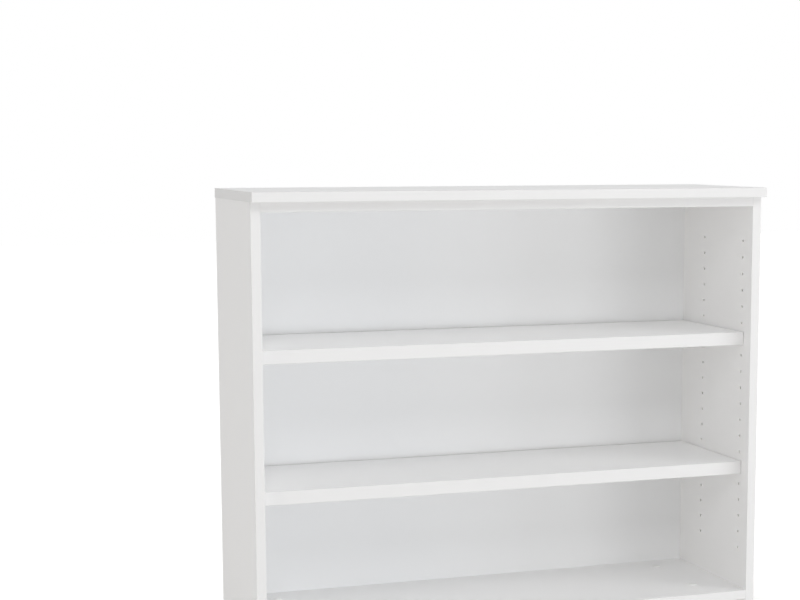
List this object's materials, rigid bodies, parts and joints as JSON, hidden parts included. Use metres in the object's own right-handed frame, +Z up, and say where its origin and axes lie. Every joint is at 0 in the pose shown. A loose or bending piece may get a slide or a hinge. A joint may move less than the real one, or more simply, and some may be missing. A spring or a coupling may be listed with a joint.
{
  "type": "open bookcase",
  "caption": "Low open bookcase: overhanging top, adjustable shelves that slide out on concealed wires, drilled side panels, recessed plinth and levelling feet.",
  "frame": {"origin": "on the floor, in the middle of the overall width and depth", "axes": "+X to the right across the front, -Y towards the open front, +Z up"},
  "size_m": [1.002, 0.32, 0.9],
  "materials": {
    "melamine_board": "white melamine-faced chipboard, fine pearl texture, satin",
    "abs_edging": "white ABS edging, satin",
    "hardboard_back": "white lacquered hardboard, satin",
    "bright_steel": "bright drawn steel wire",
    "zinc_plated": "zinc-plated steel",
    "zinc_die_cast": "zinc die casting",
    "beech": "fluted beech",
    "black_plastic": "moulded black plastic",
    "white_plastic": "moulded white plastic"
  },
  "bodies": {
    "carcass": {"side_left": "melamine_board", "side_right": "melamine_board", "side_left_edging": "abs_edging", "side_right_edging": "abs_edging", "top_panel": "melamine_board", "top_edging": "abs_edging", "sub_top": "melamine_board", "sub_top_edging": "abs_edging", "bottom_panel": "melamine_board", "bottom_edging": "abs_edging", "back_panel": "hardboard_back", "kickboard": "melamine_board", "rear_rail": "melamine_board", "shelf_upper_wires": "bright_steel", "shelf_lower_wires": "bright_steel", "cam_housings": "zinc_die_cast", "cam_bolts": "zinc_plated", "carcass_dowels": "beech", "plinth_dowels": "beech", "top_screws": "zinc_plated", "back_screws": "zinc_plated", "foot_housings": "black_plastic", "foot_screws": "zinc_plated", "access_caps": "white_plastic"},
    "shelf_upper": {"shelf_upper": "melamine_board", "shelf_upper_edging": "abs_edging"},
    "shelf_lower": {"shelf_lower": "melamine_board", "shelf_lower_edging": "abs_edging"},
    "foot_pad_front_left": {"foot_pad_front_left": "black_plastic"},
    "foot_spindle_front_left": {"foot_spindle_front_left": "zinc_plated"},
    "foot_pad_front_right": {"foot_pad_front_right": "black_plastic"},
    "foot_spindle_front_right": {"foot_spindle_front_right": "zinc_plated"},
    "foot_pad_rear_left": {"foot_pad_rear_left": "black_plastic"},
    "foot_spindle_rear_left": {"foot_spindle_rear_left": "zinc_plated"},
    "foot_pad_rear_right": {"foot_pad_rear_right": "black_plastic"},
    "foot_spindle_rear_right": {"foot_spindle_rear_right": "zinc_plated"}
  },
  "joints": [
    {"name": "shelf_upper_slide", "type": "slide", "parent": "carcass", "child": "shelf_upper", "axis": [0, -1, 0], "range_m": [0, 0.12]},
    {"name": "shelf_lower_slide", "type": "slide", "parent": "carcass", "child": "shelf_lower", "axis": [0, -1, 0], "range_m": [0, 0.12]},
    {"name": "foot_front_left_travel", "type": "slide", "parent": "carcass", "child": "foot_pad_front_left", "axis": [0, 0, -1], "range_m": [0, 0.015]},
    {"name": "foot_front_left_turn", "type": "hinge", "parent": "foot_pad_front_left", "child": "foot_spindle_front_left", "pos_m": [-0.404, -0.061, 0.006], "axis": [0, 0, -1], "range_deg": [0, 3600]},
    {"name": "foot_front_right_travel", "type": "slide", "parent": "carcass", "child": "foot_pad_front_right", "axis": [0, 0, -1], "range_m": [0, 0.015]},
    {"name": "foot_front_right_turn", "type": "hinge", "parent": "foot_pad_front_right", "child": "foot_spindle_front_right", "pos_m": [0.404, -0.061, 0.006], "axis": [0, 0, -1], "range_deg": [0, 3600]},
    {"name": "foot_rear_left_travel", "type": "slide", "parent": "carcass", "child": "foot_pad_rear_left", "axis": [0, 0, -1], "range_m": [0, 0.015]},
    {"name": "foot_rear_left_turn", "type": "hinge", "parent": "foot_pad_rear_left", "child": "foot_spindle_rear_left", "pos_m": [-0.404, 0.108, 0.006], "axis": [0, 0, -1], "range_deg": [0, 3600]},
    {"name": "foot_rear_right_travel", "type": "slide", "parent": "carcass", "child": "foot_pad_rear_right", "axis": [0, 0, -1], "range_m": [0, 0.015]},
    {"name": "foot_rear_right_turn", "type": "hinge", "parent": "foot_pad_rear_right", "child": "foot_spindle_rear_right", "pos_m": [0.404, 0.108, 0.006], "axis": [0, 0, -1], "range_deg": [0, 3600]}
  ],
  "couplings": [
    {"joint": "foot_front_left_turn", "follows": "foot_front_left_travel", "rad_per_m": 4188.8},
    {"joint": "foot_front_right_turn", "follows": "foot_front_right_travel", "rad_per_m": 4188.8},
    {"joint": "foot_rear_left_turn", "follows": "foot_rear_left_travel", "rad_per_m": 4188.8},
    {"joint": "foot_rear_right_turn", "follows": "foot_rear_right_travel", "rad_per_m": 4188.8}
  ]
}
